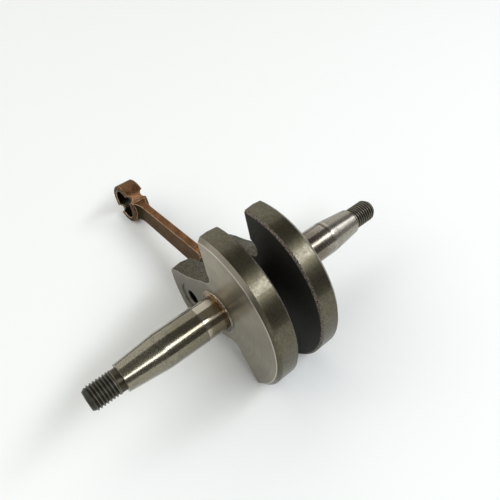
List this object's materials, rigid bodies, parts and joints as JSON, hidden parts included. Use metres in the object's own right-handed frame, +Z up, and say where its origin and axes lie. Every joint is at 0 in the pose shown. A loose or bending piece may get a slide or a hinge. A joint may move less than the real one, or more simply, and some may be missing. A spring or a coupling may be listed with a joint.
{
  "type": "crankshaft",
  "caption": "Built-up crankshaft for a small two-stroke engine, with counterweighted webs, a pressed crankpin and a connecting rod on needle rollers.",
  "frame": {"origin": "on the main axis, at the face of the near bearing shoulder", "axes": "+X along the main axis from the near end to the far end; +Y to the side where the connecting rod lies; +Z up, square to the surface that the part lies on"},
  "size_m": [0.1441, 0.1431, 0.0612],
  "materials": {
    "crank_steel": "ground and turned steel with oil stain, forged sides dark",
    "pin_steel": "ground",
    "rod_copper": "forged steel with a brown copper flash",
    "bearing_steel": "ground and polished",
    "cage_steel": "satin",
    "washer_steel": "ground"
  },
  "bodies": {
    "crank": {"near_crank_half": "crank_steel", "far_crank_half": "crank_steel", "crankpin": "pin_steel"},
    "rod": {"connecting_rod": "rod_copper"},
    "cage": {"big_end_cage": "cage_steel"},
    "needle_01": {"needle_01": "bearing_steel"},
    "needle_02": {"needle_02": "bearing_steel"},
    "needle_03": {"needle_03": "bearing_steel"},
    "needle_04": {"needle_04": "bearing_steel"},
    "needle_05": {"needle_05": "bearing_steel"},
    "needle_06": {"needle_06": "bearing_steel"},
    "needle_07": {"needle_07": "bearing_steel"},
    "needle_08": {"needle_08": "bearing_steel"},
    "needle_09": {"needle_09": "bearing_steel"},
    "needle_10": {"needle_10": "bearing_steel"},
    "needle_11": {"needle_11": "bearing_steel"},
    "needle_12": {"needle_12": "bearing_steel"},
    "needle_13": {"needle_13": "bearing_steel"},
    "near_washer": {"near_thrust_washer": "washer_steel"},
    "far_washer": {"far_thrust_washer": "washer_steel"}
  },
  "joints": [
    {"name": "rod_swing", "type": "hinge", "parent": "crank", "child": "rod", "pos_m": [0.0175, 0.01902, -0.01002], "axis": [1, 0, 0], "continuous": true},
    {"name": "cage_roll", "type": "hinge", "parent": "crank", "child": "cage", "pos_m": [0.0175, 0.01902, -0.01002], "axis": [1, 0, 0], "continuous": true},
    {"name": "needle_01_roll", "type": "hinge", "parent": "cage", "child": "needle_01", "pos_m": [0.0175, 0.0273, -0.01002], "axis": [1, 0, 0], "continuous": true},
    {"name": "needle_02_roll", "type": "hinge", "parent": "cage", "child": "needle_02", "pos_m": [0.0175, 0.02635, -0.00617], "axis": [1, 0, 0], "continuous": true},
    {"name": "needle_03_roll", "type": "hinge", "parent": "cage", "child": "needle_03", "pos_m": [0.0175, 0.02373, -0.0032], "axis": [1, 0, 0], "continuous": true},
    {"name": "needle_04_roll", "type": "hinge", "parent": "cage", "child": "needle_04", "pos_m": [0.0175, 0.02002, -0.0018], "axis": [1, 0, 0], "continuous": true},
    {"name": "needle_05_roll", "type": "hinge", "parent": "cage", "child": "needle_05", "pos_m": [0.0175, 0.01609, -0.00228], "axis": [1, 0, 0], "continuous": true},
    {"name": "needle_06_roll", "type": "hinge", "parent": "cage", "child": "needle_06", "pos_m": [0.0175, 0.01283, -0.00453], "axis": [1, 0, 0], "continuous": true},
    {"name": "needle_07_roll", "type": "hinge", "parent": "cage", "child": "needle_07", "pos_m": [0.0175, 0.01098, -0.00804], "axis": [1, 0, 0], "continuous": true},
    {"name": "needle_08_roll", "type": "hinge", "parent": "cage", "child": "needle_08", "pos_m": [0.0175, 0.01098, -0.012], "axis": [1, 0, 0], "continuous": true},
    {"name": "needle_09_roll", "type": "hinge", "parent": "cage", "child": "needle_09", "pos_m": [0.0175, 0.01283, -0.01551], "axis": [1, 0, 0], "continuous": true},
    {"name": "needle_10_roll", "type": "hinge", "parent": "cage", "child": "needle_10", "pos_m": [0.0175, 0.01609, -0.01776], "axis": [1, 0, 0], "continuous": true},
    {"name": "needle_11_roll", "type": "hinge", "parent": "cage", "child": "needle_11", "pos_m": [0.0175, 0.02002, -0.01824], "axis": [1, 0, 0], "continuous": true},
    {"name": "needle_12_roll", "type": "hinge", "parent": "cage", "child": "needle_12", "pos_m": [0.0175, 0.02373, -0.01683], "axis": [1, 0, 0], "continuous": true},
    {"name": "needle_13_roll", "type": "hinge", "parent": "cage", "child": "needle_13", "pos_m": [0.0175, 0.02635, -0.01387], "axis": [1, 0, 0], "continuous": true},
    {"name": "near_washer_spin", "type": "hinge", "parent": "crank", "child": "near_washer", "pos_m": [0.01055, 0.01902, -0.01002], "axis": [1, 0, 0], "continuous": true},
    {"name": "far_washer_spin", "type": "hinge", "parent": "crank", "child": "far_washer", "pos_m": [0.02165, 0.01902, -0.01002], "axis": [1, 0, 0], "continuous": true}
  ],
  "couplings": [
    {"joint": "cage_roll", "follows": "rod_swing", "ratio": 0.5773},
    {"joint": "needle_01_roll", "follows": "rod_swing", "ratio": 3.2329},
    {"joint": "needle_02_roll", "follows": "rod_swing", "ratio": 3.2329},
    {"joint": "needle_03_roll", "follows": "rod_swing", "ratio": 3.2329},
    {"joint": "needle_04_roll", "follows": "rod_swing", "ratio": 3.2329},
    {"joint": "needle_05_roll", "follows": "rod_swing", "ratio": 3.2329},
    {"joint": "needle_06_roll", "follows": "rod_swing", "ratio": 3.2329},
    {"joint": "needle_07_roll", "follows": "rod_swing", "ratio": 3.2329},
    {"joint": "needle_08_roll", "follows": "rod_swing", "ratio": 3.2329},
    {"joint": "needle_09_roll", "follows": "rod_swing", "ratio": 3.2329},
    {"joint": "needle_10_roll", "follows": "rod_swing", "ratio": 3.2329},
    {"joint": "needle_11_roll", "follows": "rod_swing", "ratio": 3.2329},
    {"joint": "needle_12_roll", "follows": "rod_swing", "ratio": 3.2329},
    {"joint": "needle_13_roll", "follows": "rod_swing", "ratio": 3.2329}
  ]
}
